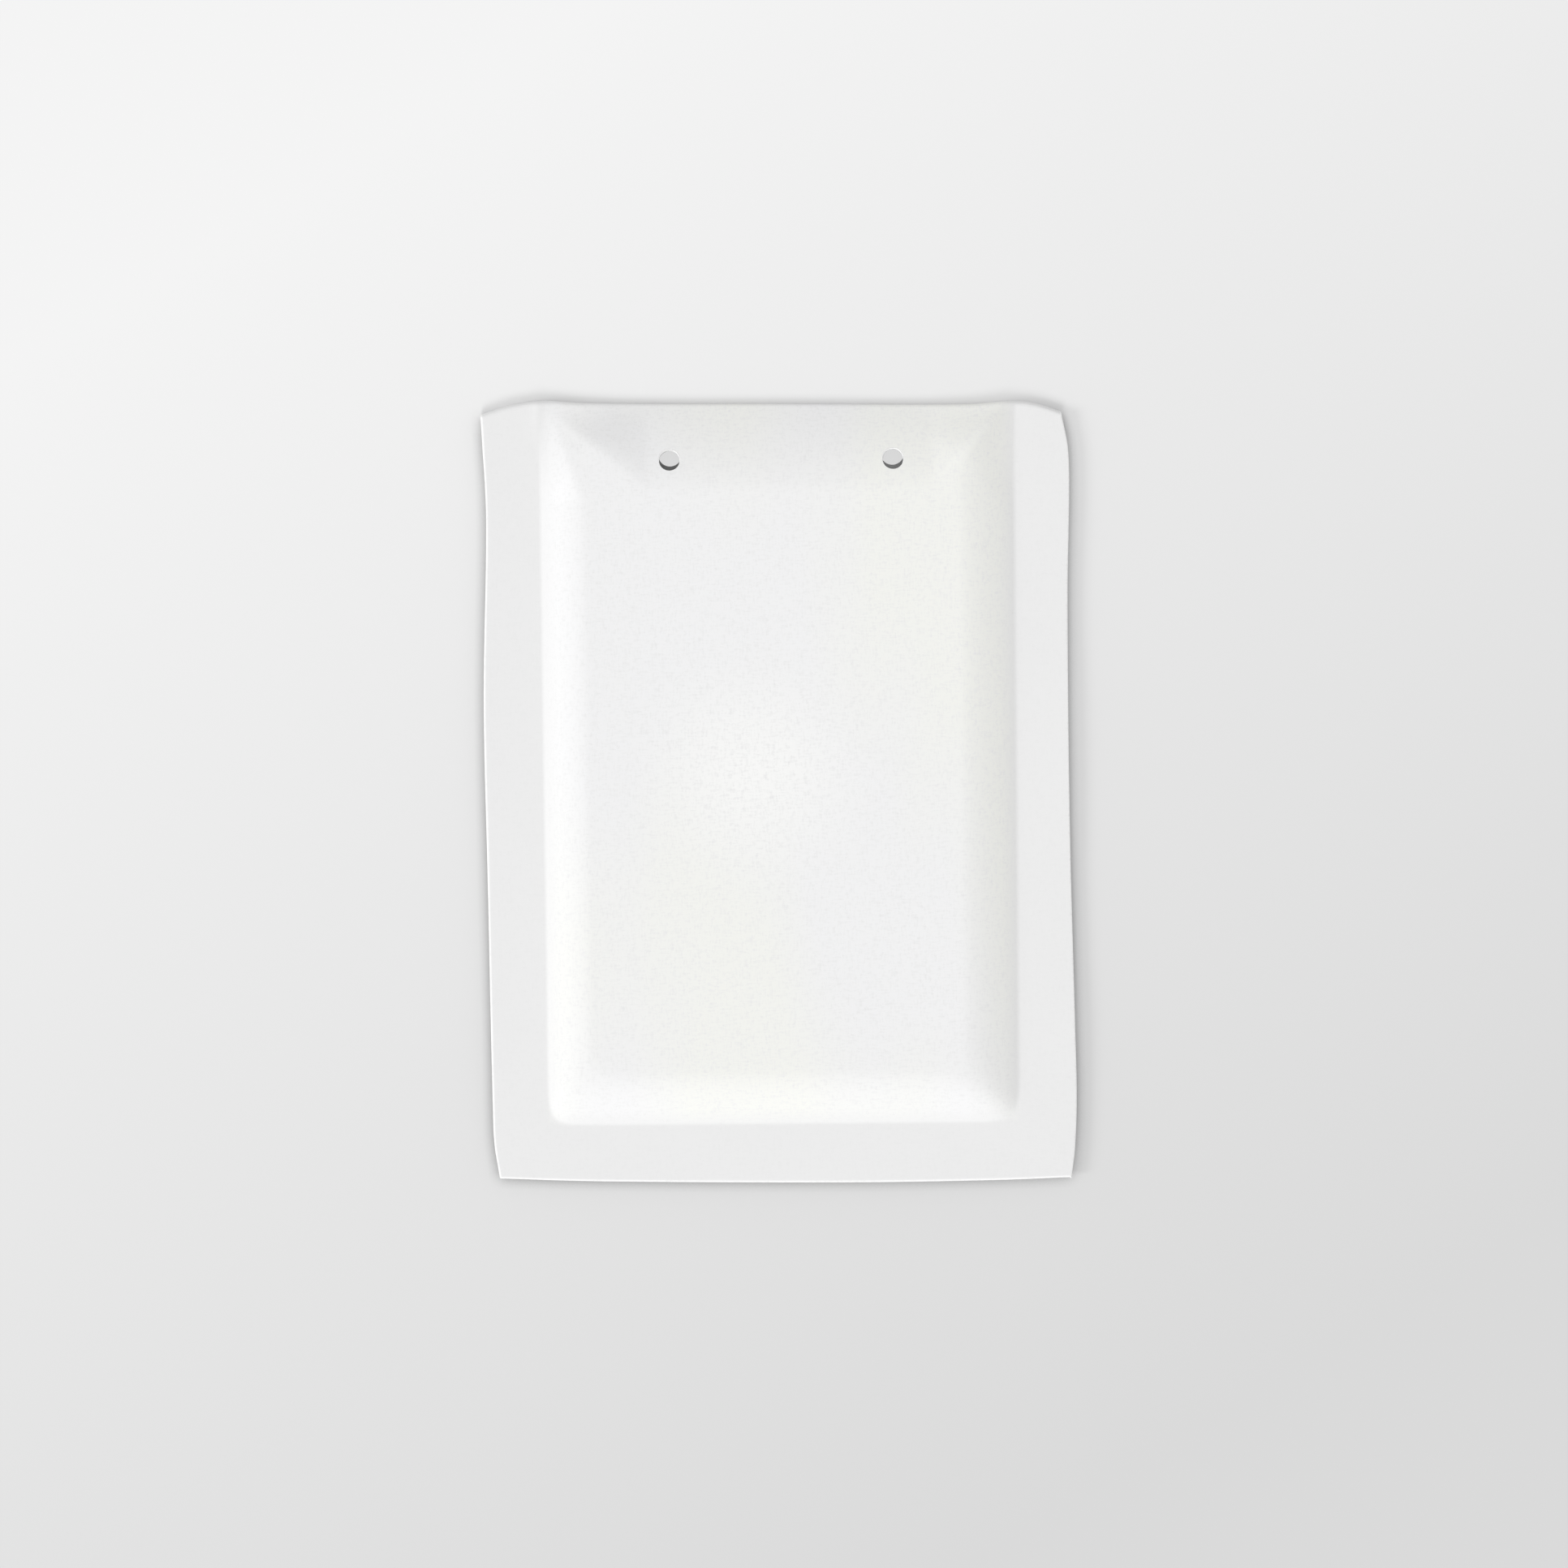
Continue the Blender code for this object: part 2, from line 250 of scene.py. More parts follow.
def paperMaterial(name, look):
    material, tree, shader = newMaterial(name, {"Metallic": 0.0, "Specular IOR Level": 0.35})
    point = tree.node("ShaderNodeTexCoord", output="Object")
    stretches = ((1.0, look["fibreStretch"], 1.0), (look["fibreStretch"], 1.0, 1.0))
    along, across = (tree.node("ShaderNodeMapping", {},
                               {"Vector": point, "Rotation": (0, 0, turn), "Scale": stretch})
                     for turn, stretch in zip(look["fibreTurns"], stretches))
    layerA, layerB = (tree.node("ShaderNodeTexNoise", {}, {"Vector": drawn, "Scale": look["fibresPerMetre"],
                                                           "Detail": 4.0, "Distortion": 0.6})
                      for drawn in (along, across))
    fibres = layerA * 0.5 + layerB * 0.5
    mottle = tree.node("ShaderNodeTexNoise", {},
                       {"Vector": along, "Scale": look["mottlePerMetre"], "Detail": 2.0, "Roughness": 0.4})
    cockle = tree.node("ShaderNodeTexNoise", {},
                       {"Vector": point, "Scale": look["cocklePerMetre"], "Detail": 1.0, "Roughness": 0.3})
    patchStops = [(0.42, (0, 0, 0, 1)), (0.58, (1, 1, 1, 1))]
    patch = tree.node("ShaderNodeValToRGB", {"stops": patchStops}, {0: mottle})
    padColour = tree.mixColour(patch, look["cool"], look["cream"])
    # painted highlight: the pad's colour turns lighter towards its middle
    paintedHighlightShare = tree.clamp(1 - tree.distance(point, look["highlightCentre"]) / look["highlightRadius"])
    padColour = tree.mixColour(paintedHighlightShare * paintedHighlightShare * (3 - 2 * paintedHighlightShare), padColour, look["pale"])
    parts = tree.node("ShaderNodeSeparateXYZ", {}, {0: point})
    fromMiddle = tree.node("ShaderNodeMath", {"operation": "ABSOLUTE"}, {0: parts - envelope["padShift"]})
    fromBottom = tree.other(parts, 1) + (halfHeight - envelope["bottomMargin"])
    inside = tree.node("ShaderNodeMath", {"operation": "MINIMUM"}, {0: foot - fromMiddle, 1: fromBottom})
    base = tree.mixColour(tree.clamp(inside / look["padFade"]), look["margin"], padColour)
    flat = tree.vectors("MULTIPLY", point, (1, 1, 0))
    # painted highlight: the lips in each hole are coloured lighter
    for side in (-1, 1):
        fromHole = tree.distance(flat, (*holeCentre(side), 0))
        base = tree.mixColour(fromHole < punch["diameter"] / 2, base, look["paintedEdgeHighlight"])
    # painted highlight: the cut edges are coloured lighter
    edgeHighlightShare = tree.node("ShaderNodeAttribute", {"attribute_name": "bareEdge"}, output=2)
    base = tree.mixColour(edgeHighlightShare, base, look["paintedEdgeHighlight"])
    dark = tuple(channel * look["fibreShade"] for channel in look["margin"][:3]) + (1.0,)
    fleckStops = [(0.30, (1, 1, 1, 1)), (0.52, (0, 0, 0, 1))]
    fleck = tree.node("ShaderNodeValToRGB", {"stops": fleckStops}, {0: fibres})
    feed(tree, shader, "Base Color", tree.mixColour(fleck, base, dark))
    feed(tree, shader, "Roughness", look["roughness"] + (fibres - 0.5) * 0.25)
    soft = tree.node("ShaderNodeBump", {},
                     {"Strength": 0.5, "Distance": look["cockleDepth"], "Height": cockle})
    fine = tree.node("ShaderNodeBump", {},
                     {"Strength": 0.6, "Distance": look["fibreDepth"], "Height": fibres, "Normal": soft})
    feed(tree, shader, "Normal", fine)
    return material


filmLook = {"colour": (0.80, 0.84, 0.87, 1.0), "roughness": 0.16, "alpha": 0.55, "wrinklesPerMetre": 420.0}


def filmMaterial(name, look):
    material, tree, shader = newMaterial(name, {"Metallic": 0.0, "Specular IOR Level": 0.6, "IOR": 1.5})
    point = tree.node("ShaderNodeTexCoord", output="Object")
    wrinkle = tree.node("ShaderNodeTexNoise", {},
                        {"Vector": point, "Scale": look["wrinklesPerMetre"], "Detail": 3.0})
    pale = tuple(min(1.0, channel * 1.08) for channel in look["colour"][:3]) + (1.0,)
    feed(tree, shader, "Base Color", tree.mixColour(wrinkle, look["colour"], pale))
    feed(tree, shader, "Roughness", look["roughness"] + wrinkle * 0.14)
    feed(tree, shader, "Alpha", look["alpha"] + wrinkle * 0.15)
    feed(tree, shader, "Normal", tree.node("ShaderNodeBump", {},
                                           {"Strength": 0.4, "Distance": 0.00008, "Height": wrinkle}))
    return material


glueLook = {"colour": (0.78, 0.73, 0.58, 1.0), "deep": (0.70, 0.63, 0.45, 1.0), "streaksPerMetre": 260.0}


def glueMaterial(name, look):
    material, tree, shader = newMaterial(name, {"Metallic": 0.0, "Coat Roughness": 0.2, "Coat Weight": 0.4})
    point = tree.node("ShaderNodeTexCoord", output="Object")
    drawn = tree.node("ShaderNodeMapping", {}, {"Vector": point, "Scale": (0.12, 1.0, 1.0)})
    streak = tree.node("ShaderNodeTexNoise", {},
                       {"Vector": drawn, "Scale": look["streaksPerMetre"], "Detail": 3.0})
    feed(tree, shader, "Base Color", tree.mixColour(streak, look["colour"], look["deep"]))
    feed(tree, shader, "Roughness", 0.22 + streak * 0.2)
    feed(tree, shader, "Normal", tree.node("ShaderNodeBump", {},
                                           {"Strength": 0.5, "Distance": 0.0001, "Height": streak}))
    return material


linerLook = {"colour": (0.90, 0.89, 0.84, 1.0), "shade": (0.86, 0.85, 0.79, 1.0), "grainPerMetre": 900.0}


def linerMaterial(name, look):
    material, tree, shader = newMaterial(name, {"Metallic": 0.0, "Coat Roughness": 0.25, "Coat Weight": 0.3})
    point = tree.node("ShaderNodeTexCoord", output="Object")
    grain = tree.node("ShaderNodeTexNoise", {},
                      {"Vector": point, "Scale": look["grainPerMetre"], "Detail": 4.0})
    feed(tree, shader, "Base Color", tree.mixColour(grain, look["colour"], look["shade"]))
    feed(tree, shader, "Roughness", 0.28 + grain * 0.15)
    feed(tree, shader, "Normal", tree.node("ShaderNodeBump", {},
                                           {"Strength": 0.3, "Distance": 0.00003, "Height": grain}))
    return material


# the shape of the sheets, shared with their lining

def clamp(value):
    return min(max(value, 0.0), 1.0)


def easeBy(share, power):
    # steepest at the start, level at the end
    return 1 - (1 - clamp(share)) ** power


def smooth(share):
    held = clamp(share)
    return held * held * (3 - 2 * held)


def softFoot(share):
    # leaves the margin in a small curve, then runs straight
    fillet = envelope["footFillet"]
    held = clamp(share)
    bent = held * held / (2 * fillet) if held < fillet else held - fillet / 2
    return bent / (1 - fillet / 2)


def bowAt(points, share):
    # smooth curve through a short list of points
    held = clamp(share)
    last = len(points) - 1
    span = next(index for index in range(last) if held <= points[index + 1][0])
    (start, low), (end, high) = points[span], points[span + 1]
    run = end - start
    along = (held - start) / run
    leave = tangentAt(points, span) * run
    arrive = tangentAt(points, span + 1) * run
    bend = (1 + 2 * along) * (1 - along) ** 2 * low + along ** 2 * (3 - 2 * along) * high
    return bend + along * (1 - along) ** 2 * leave - along ** 2 * (1 - along) * arrive


def tangentAt(points, index):
    before = points[max(index - 1, 0)]
    after = points[min(index + 1, len(points) - 1)]
    return (after[1] - before[1]) / (after[0] - before[0])


def place(x, up):
    # from the plain rectangle, with up counted from the bottom edge, to the wavy outline
    across = x / envelope["width"] + 0.5
    share = up / envelope["height"]
    marginShare = clamp((abs(x) - foot) / envelope["sideMargin"])
    outward = bowAt(outline["right"], share) if x > 0 else -bowAt(outline["left"], share)
    lean = envelope["padLean"] * (1 - 2 * share) * clamp(-x / foot)
    movedX = x + (envelope["padShift"] + lean) * (1 - marginShare) + outward * marginShare
    bottomShare = clamp(1 - up / envelope["bottomMargin"])
    topShare = smooth(1 - (envelope["height"] - up) / outline["topReach"])
    moved = up - bowAt(outline["bottom"], across) * bottomShare + bowAt(outline["top"], across) * topShare
    return movedX, moved - halfHeight


def unplace(x, y):
    # the plain rectangle's point that place() would put here
    plainX, up = x - envelope["padShift"], y + halfHeight
    for step in range(3):
        movedX, movedY = place(plainX, up)
        plainX += x - movedX
        up += y - movedY
    return plainX, up


def padShare(x, up, slopeRun):
    # 0 on the margins, 1 on the flat of the pad; a lower corner is square at its foot, rounder above
    room = 1 + envelope["cornerRoom"] / envelope["bottomRun"]
    side = 1 - clamp((foot - abs(x)) / (slopeRun * room))
    bottom = 1 - clamp((up - envelope["bottomMargin"]) / (envelope["bottomRun"] * room))
    outer = smooth((math.hypot(side, bottom) - 1) * room + 1)
    power = envelope["innerPower"] + (envelope["outerPower"] - envelope["innerPower"]) * outer
    reach = (side ** power + bottom ** power) ** (1 / power)
    return clamp((1 - reach) * room)


def sideOf(x):
    return "right" if x > 0 else "left"


def grown(growth, distance):
    # share of a full value at a distance from an ear's tip
    tip, length, ease = growth
    return tip + (1 - tip) * easeBy(distance / length, ease)


def swollen(growth, distance):
    # the same for a ridge, which leaves its tip and ends level
    tip, length, power = growth
    return tip + (1 - tip) * smooth(distance / length) ** power


def beadLift(inward, below, ear):
    if ear is not ears["left"]:
        return 0.0
    across = math.exp(-(inward / ears["beadWidth"]) ** 2)
    return ears["bead"] * across * smooth(1 - below / ears["beadLength"])


def crestLift(beyond, below, ear):
    # narrow crest along the inner end of the right slope, sharp on its outer side
    if ear is not ears["right"]:
        return 0.0
    length = ear["ridge"][1]
    along = smooth(below / (0.3 * length)) * smooth(1.3 - below / length)
    beyond -= ears["crestShift"] * smooth(below / length)
    across = math.exp(-beyond / ears["crestReach"]) if beyond > 0 else clamp(1 + beyond / ears["crestReach"])
    return ears["crest"] * along * across


def edgeDrop(x, up):
    # rounds the sealed edges over, towards the middle of the seam
    side = clamp(1 - (halfWidth - abs(x)) / envelope["edgeRoll"])
    bottom = clamp(1 - up / envelope["edgeRoll"])
    turn = clamp(math.hypot(side, bottom))
    return 1 - math.sqrt(1 - turn * turn)


def edgeCurl(x, up):
    # turns the left and bottom edges down
    left = clamp(1 - (halfWidth + x) / envelope["curlRun"])
    bottom = clamp(1 - up / envelope["curlRun"])
    turn = clamp(math.hypot(left, bottom))
    return envelope["curl"] * (1 - math.sqrt(1 - turn * turn))


def marginWave(x, up):
    # slow rise and fall, nothing at the foot of the pad and most at the edge
    outside = max(clamp((abs(x) - foot) / envelope["sideMargin"]), clamp(1 - up / envelope["bottomMargin"]))
    below = smooth((envelope["height"] - up) / outline["topReach"])
    across, along = envelope["marginWaves"]
    wave = noise.noise(Vector((x * across, up * along, 3.1)))
    return envelope["marginWave"] * outside * below * wave - edgeCurl(x, up)


def frontHeight(x, up):
    ear = ears[sideOf(x)]
    below = envelope["height"] - up
    inward = foot - abs(x)
    sideRun = envelope["slopeRun"][sideOf(x)] * grown(ear["sideRun"], below)
    topRun = envelope["topRun"] * grown(ear["topRun"], inward)
    fromTip = (max(inward, 0) + below) * math.sqrt(0.5)
    power = ears["power"] + (envelope["slopePower"] - ears["power"]) * clamp(fromTip / ear["ridge"][1])
    ridge = swollen(ear["ridge"], fromTip)
    top = easeBy(below / topRun, power)
    share = easeBy(softFoot(padShare(x, up, sideRun)), power) * top * ridge
    dip = envelope["foldDip"] * smooth(inward / ears["dipReach"]) * (1 - top)
    across, along = envelope["plateauWaves"]
    # mostly below the pad's full height
    wave = envelope["plateauWave"] * share * (noise.noise(Vector((x * across, up * along, 0.4))) - 0.6)
    crest = crestLift(inward - sideRun, below, ear) + beadLift(inward, below, ear)
    return seamTop + (envelope["padHeight"] - seamTop) * share - dip + wave + crest + marginWave(x, up)


def backHeight(x, up):
    climbStart = flapEdge - flap["backClearance"] - flap["backStep"]
    rest = flap["backLift"] * smooth((up - climbStart) / flap["backStep"])
    share = easeBy(softFoot(padShare(x, up, envelope["slopeRun"][sideOf(x)])), envelope["slopePower"])
    return seamBottom + (rest - seamBottom) * share + marginWave(x, up)


def stations(spans):
    # positions from (start, end, step) spans
    places = []
    for start, end, step in spans:
        count = max(1, round((end - start) / step))
        places += [start + (end - start) * index / count for index in range(count)]
    return places + [spans[-1][1]]


def columns(edge):
    # closer together over the slopes, the foot of the pad and the rolled edge
    halves = {}
    for side, run in envelope["slopeRun"].items():
        slopeEnd = foot - run
        places = stations([(0.0, 0.030, 0.0025), (0.030, slopeEnd, 0.0012), (slopeEnd, foot - 0.002, 0.0008),
                           (foot - 0.002, foot + 0.0015, 0.00035), (foot + 0.0015, halfWidth - 0.001, 0.0019),
                           (halfWidth - 0.001, halfWidth, 0.00014)])
        halves[side] = [x for x in places if x < edge - 1e-6] + [edge]
    return [-x for x in reversed(halves["left"][1:])] + halves["right"]


def rowsUp(low, high):
    # the same for rows, from the bottom edge to the fold
    bottom = envelope["bottomMargin"]
    slopeEnd = bottom + envelope["bottomRun"]
    rows = stations([(0.0, 0.001, 0.00014), (0.001, bottom - 0.0015, 0.0019),
                     (bottom - 0.0015, bottom + 0.002, 0.00035), (bottom + 0.002, slopeEnd, 0.0008),
                     (slopeEnd, 0.168, 0.0026), (0.168, 0.190, 0.0012), (0.190, envelope["height"], 0.0009)])
    return [low] + [up for up in rows if low + 1e-6 < up < high - 1e-6] + [high]


def gridMesh(name, rows):
    mesh = bmesh.new()
    placed = [[mesh.verts.new(point) for point in row] for row in rows]
    for low, high in zip(placed, placed[1:]):
        for index in range(len(low) - 1):
            mesh.faces.new((low[index], low[index + 1], high[index + 1], high[index]))
    data = bpy.data.meshes.new(name)
    mesh.to_mesh(data)
    mesh.free()
    return data


def markEdgeHighlight(data, plain):
    # where a sheet's cut edge gets its painted highlight, from each vertex's place on the plain rectangle
    share = data.attributes.new("bareEdge", "FLOAT", "POINT")
    for index, (x, up) in enumerate(plain):
        fromEdge = min(halfWidth - abs(x), max(up, 0.0))
        share.data[index].value = clamp(2 * (1 - fromEdge / envelope["bareEdge"]))
    return data


def addObject(name, data):
    item = bpy.data.objects.new(name, data)
    bpy.context.scene.collection.objects.link(item)
    return item


def settle(item, material, sharpDegrees=35):
    # turns the modifiers' result into a plain mesh
    graph = bpy.context.evaluated_depsgraph_get()
    data = bpy.data.meshes.new_from_object(item.evaluated_get(graph))
    item.modifiers.clear()
    item.data = data
    data.materials.clear()
    data.materials.append(material)
    data.shade_smooth()
    data.set_sharp_from_angle(angle=math.radians(sharpDegrees))
    return item


def cutHoles(item, punches):
    for hole in punches:
        cut = item.modifiers.new("hole", "BOOLEAN")
        cut.operation = "DIFFERENCE"
        cut.object = hole


def makePunches():
    made = []
    for side in (-1, 1):
        mesh = bmesh.new()
        bmesh.ops.create_cone(mesh, cap_ends=True, segments=punch["sides"], radius1=punch["diameter"] / 2,
                              radius2=punch["diameter"] / 2, depth=punch["length"])
        data = bpy.data.meshes.new("punch")
        mesh.to_mesh(data)
        mesh.free()
        data.transform(Matrix.Translation((*holeCentre(side), 0)))
        made.append(addObject("punch", data))
    return made


def finishSheet(item, offset, punches, material):
    solid = item.modifiers.new("thickness", "SOLIDIFY")
    solid.thickness = envelope["paper"]
    solid.offset = offset
    solid.use_even_offset = True
    cutHoles(item, punches)
    return settle(item, material)


# cut edges of paper and film that the punch presses into each hole
lips = {
    # distance inside the hole's wall at its upper side, height over the paper's outer face
    "profile": ((0.00001, -0.00002), (0.00016, 0.00001), (0.00034, -0.00012), (0.00050, -0.00030),
                (0.00050, -0.00050), (0.00034, -0.00070), (0.00012, -0.00060)),
    "lowerShare": 0.15,         # how wide they are at the hole's lower side, against the upper
    "sides": 72,
}


def addLips(sheet):
    # a turned ring in each hole, level with the sloping paper round it
    mesh = bmesh.new()
    mesh.from_mesh(sheet.data)
    for side in (-1, 1):
        middleX, middleY = holeCentre(side)
        rings = []
        for inset, lift in lips["profile"]:
            ring = []
            for step in range(lips["sides"]):
                turn = 2 * math.pi * step / lips["sides"]
                edgeX = middleX + punch["diameter"] / 2 * math.cos(turn)
                edgeY = middleY + punch["diameter"] / 2 * math.sin(turn)
                share = lips["lowerShare"] + (1 - lips["lowerShare"]) * smooth(0.5 + 0.5 * math.sin(turn))
                radius = punch["diameter"] / 2 - inset * share
                height = frontHeight(*unplace(edgeX, edgeY)) + lift
                point = (middleX + radius * math.cos(turn), middleY + radius * math.sin(turn), height)
                ring.append(mesh.verts.new(point))
            rings.append(ring)
        made = []
        for near, far in zip(rings, rings[1:] + rings[:1]):
            for index in range(lips["sides"]):
                after = (index + 1) % lips["sides"]
                made.append(mesh.faces.new((near[index], near[after], far[after], far[index])))
        bmesh.ops.recalc_face_normals(mesh, faces=made)
        for face in made:
            face.smooth = True
    mesh.to_mesh(sheet.data)
    mesh.free()


def makeFrontSheet(punches, material):
    xs = columns(halfWidth)
    lean = envelope["foldLean"]
    foldStart = envelope["height"] - foldRadius * (1 - math.sin(lean))
    rows = []
    ups = rowsUp(0.0, foldStart)
    for up in ups:
        row = []
        for x in xs:
            drop = edgeDrop(x, up) * (seamTop - envelope["seamHeight"])
            row.append((*place(x, up), frontHeight(x, up) - drop))
        rows.append(row)
    for step in range(1, envelope["foldCells"]):
        turn = lean + (math.pi - lean) * step / envelope["foldCells"]
        up = foldStart + foldRadius * (math.sin(turn) - math.sin(lean))
        share = (1 + math.cos(turn)) / (1 + math.cos(lean))
        rows.append([(*place(x, up), frontHeight(x, foldStart) * share) for x in xs])
        ups.append(up)
    flapStart = foldStart - foldRadius * math.sin(lean)
    for step in range(envelope["flapCells"] + 1):
        up = flapStart + (flapEdge - flapStart) * step / envelope["flapCells"]
        narrow = 1 - flap["inset"] / halfWidth * clamp((envelope["height"] - up) / flap["depth"])
        rows.append([(place(x, up)[0] * narrow, place(x, up)[1], 0.0) for x in xs])
        ups.append(up)
    data = markEdgeHighlight(gridMesh("front_paper", rows), [(x, up) for up in ups for x in xs])
    item = finishSheet(addObject("front_paper", data), -1.0, punches, material)
    addLips(item)
    return item


def makeBackSheet(punches, material):
    xs = columns(halfWidth)
    rows = []
    ups = rowsUp(0.0, envelope["height"] - flap["mouthSetback"])
    for up in ups:
        row = []
        for x in xs:
            rise = edgeDrop(x, up) * (envelope["seamHeight"] - seamBottom)
            row.append((*place(x, up), backHeight(x, up) + rise))
        rows.append(row)
    data = markEdgeHighlight(gridMesh("back_paper", rows), [(x, up) for up in ups for x in xs])
    return finishSheet(addObject("back_paper", data), 1.0, punches, material)


bubbles = {
    "pitch": 0.0112,            # from bubble to bubble along a row
    "diameter": 0.0100,
    "height": 0.0036,           # of a bubble where the pocket has room for it
    "leastRoom": 0.0014,
    "holeRoom": 0.0110,         # clear of bubbles round each punched hole
    "film": 0.00012,            # flat layer that the bubbles are sealed to
    "inset": 0.0045,            # film's border inside the foot of the pad
    "topGap": 0.007,            # film's upper edge below the fold
    "corner": 0.012,            # cut off its two upper corners
    "step": 0.0022,
    "slopeAllowance": 1.9,      # paper measured straight down through a slope
    "pocket": 0.0006,           # between the two linings
    "sides": 14,
    "rings": 8,
    "bluntness": 0.55,          # below 1 a bubble has steeper walls and a flatter top
}


def filmFace(x, up, facing):
    # the film's face against the paper; facing is 1 for bubbles that point up, -1 for down
    allowance = envelope["paper"] * bubbles["slopeAllowance"] + envelope["gap"]
    return backHeight(x, up) + allowance if facing > 0 else frontHeight(x, up) - allowance


def pocketRoom(x, up, facing):
    middle = (frontHeight(x, up) + backHeight(x, up)) / 2
    return (middle - filmFace(x, up, facing)) * facing - bubbles["film"] - bubbles["pocket"] / 2


def makeFilm(name, facing, punches):
    # thin closed sheet that knows how much room each of its points has for a bubble
    half = foot - bubbles["inset"]
    xs = stations([(-half, half, bubbles["step"])])
    low, high = envelope["bottomMargin"] + bubbles["inset"], envelope["height"] - bubbles["topGap"]
    ups = stations([(low, high, bubbles["step"])])
    plain = []
    for up in ups:
        cut = bubbles["corner"] * clamp(1 - (ups[-1] - up) / bubbles["corner"])
        plain.append([(x * (1 - cut / half), up) for x in xs])
    data = gridMesh(name, [[(*place(x, up), filmFace(x, up, facing)) for x, up in row] for row in plain])
    room = data.attributes.new("room", "FLOAT", "POINT")
    for index, (x, up) in enumerate([point for row in plain for point in row]):
        room.data[index].value = pocketRoom(x, up, facing)
    item = addObject(name, data)
    layer = item.modifiers.new("film", "SOLIDIFY")
    layer.thickness = bubbles["film"]
    layer.offset = facing
    cutHoles(item, punches)
    return item


def bubbleTree(film):
    # sets a bubble on every point of a staggered grid where the film has room for it
    group = bpy.data.node_groups.new("bubble_film", "GeometryNodeTree")
    names = ("Film", "Pitch", "Diameter", "Height", "Least Room", "Hole Room", "Bluntness", "Facing")
    sockets = {}
    for name in names:
        kind = "NodeSocketGeometry" if name == "Film" else "NodeSocketFloat"
        sockets[name] = group.interface.new_socket(name=name, in_out="INPUT", socket_type=kind)
    group.interface.new_socket(name="Lining", in_out="OUTPUT", socket_type="NodeSocketGeometry")
    tree = Tree(group)
    filmMesh = tree.node("NodeGroupInput")
    given = {name: tree.other(filmMesh, index) for index, name in enumerate(names)}

    # staggered points
    columnCount = math.ceil(envelope["width"] / (bubbles["pitch"] * math.sqrt(0.75)))
    rowCount = math.ceil(envelope["height"] / bubbles["pitch"])
    grid = tree.node("GeometryNodeMeshGrid", {}, {
        "Size X": given["Pitch"] * (math.sqrt(0.75) * (columnCount - 1)),
        "Size Y": given["Pitch"] * (rowCount - 1), "Vertices X": columnCount, "Vertices Y": rowCount})
    index = tree.node("GeometryNodeInputIndex")
    column = tree.node("ShaderNodeMath", {"operation": "FLOOR"}, {0: index / rowCount})
    stagger = tree.node("ShaderNodeCombineXYZ", {}, {"Y": (column % 2 - 0.5) * given["Pitch"] * 0.5})
    points = tree.node("GeometryNodeSetPosition", {}, {"Geometry": grid, "Offset": stagger})

    # the film's inner face over or under each point
    position = tree.node("GeometryNodeInputPosition")
    flat = tree.vectors("MULTIPLY", position, (1, 1, 0))
    # each ray starts well clear of the envelope
    lift = tree.node("ShaderNodeCombineXYZ", {}, {"Z": given["Facing"] * 0.05})
    start = tree.vectors("ADD", flat, lift)
    towards = tree.node("ShaderNodeCombineXYZ", {}, {"Z": 0 - given["Facing"]})
    room = tree.node("GeometryNodeInputNamedAttribute", {"data_type": "FLOAT"}, {"Name": "room"})
    hit = tree.node("GeometryNodeRaycast", {"data_type": "FLOAT"}, {
        "Target Geometry": filmMesh, "Attribute": room, "Source Position": start, "Ray Direction": towards,
        "Ray Length": 0.1})
    seat, normal, found = (tree.other(hit, output) for output in (1, 2, 4))
    dropped = 1 - hit + (found < given["Least Room"])
    for side in (-1, 1):
        dropped = dropped + (tree.distance(flat, (*holeCentre(side), 0)) < given["Hole Room"])
    kept = tree.node("GeometryNodeDeleteGeometry", {}, {"Geometry": points, "Selection": dropped})
    seats = tree.node("GeometryNodeSetPosition", {}, {"Geometry": kept, "Position": seat})

    # one bubble: a ball with a blunt top and a flat base, of radius one
    ball = tree.node("GeometryNodeMeshUVSphere", {},
                     {"Segments": bubbles["sides"], "Rings": bubbles["rings"], "Radius": 1.0})
    parts = tree.node("ShaderNodeSeparateXYZ", {}, {0: position})
    above = tree.node("ShaderNodeMath", {"operation": "MAXIMUM"}, {0: tree.other(parts, 2), 1: 0.0})
    blunt = tree.node("ShaderNodeMath", {"operation": "POWER"}, {0: above, 1: given["Bluntness"]})
    domed = tree.node("ShaderNodeCombineXYZ", {}, {"X": parts, "Y": tree.other(parts, 1), "Z": blunt})
    bubble = tree.node("GeometryNodeSetPosition", {}, {"Geometry": ball, "Position": domed})
    tall = tree.node("ShaderNodeMath", {"operation": "MINIMUM"}, {0: found, 1: given["Height"]})
    radius = given["Diameter"] * 0.5
    size = tree.node("ShaderNodeCombineXYZ", {}, {"X": radius, "Y": radius, "Z": tall})
    upright = tree.node("FunctionNodeAlignRotationToVector", {"axis": "Z"}, {"Vector": normal})
    blown = tree.node("GeometryNodeInstanceOnPoints", {}, {
        "Points": seats, "Instance": bubble, "Rotation": upright, "Scale": size})
    joined = tree.node("GeometryNodeJoinGeometry", {}, {0: filmMesh})
    tree.nodeTree.links.new(blown.socket, joined.socket.node.inputs[0])
    real = tree.node("GeometryNodeRealizeInstances", {}, {"Geometry": joined})
    coated = tree.node("GeometryNodeSetMaterial", {}, {"Geometry": real, "Material": film})
    tree.node("NodeGroupOutput", {}, {0: coated})
    return group, sockets


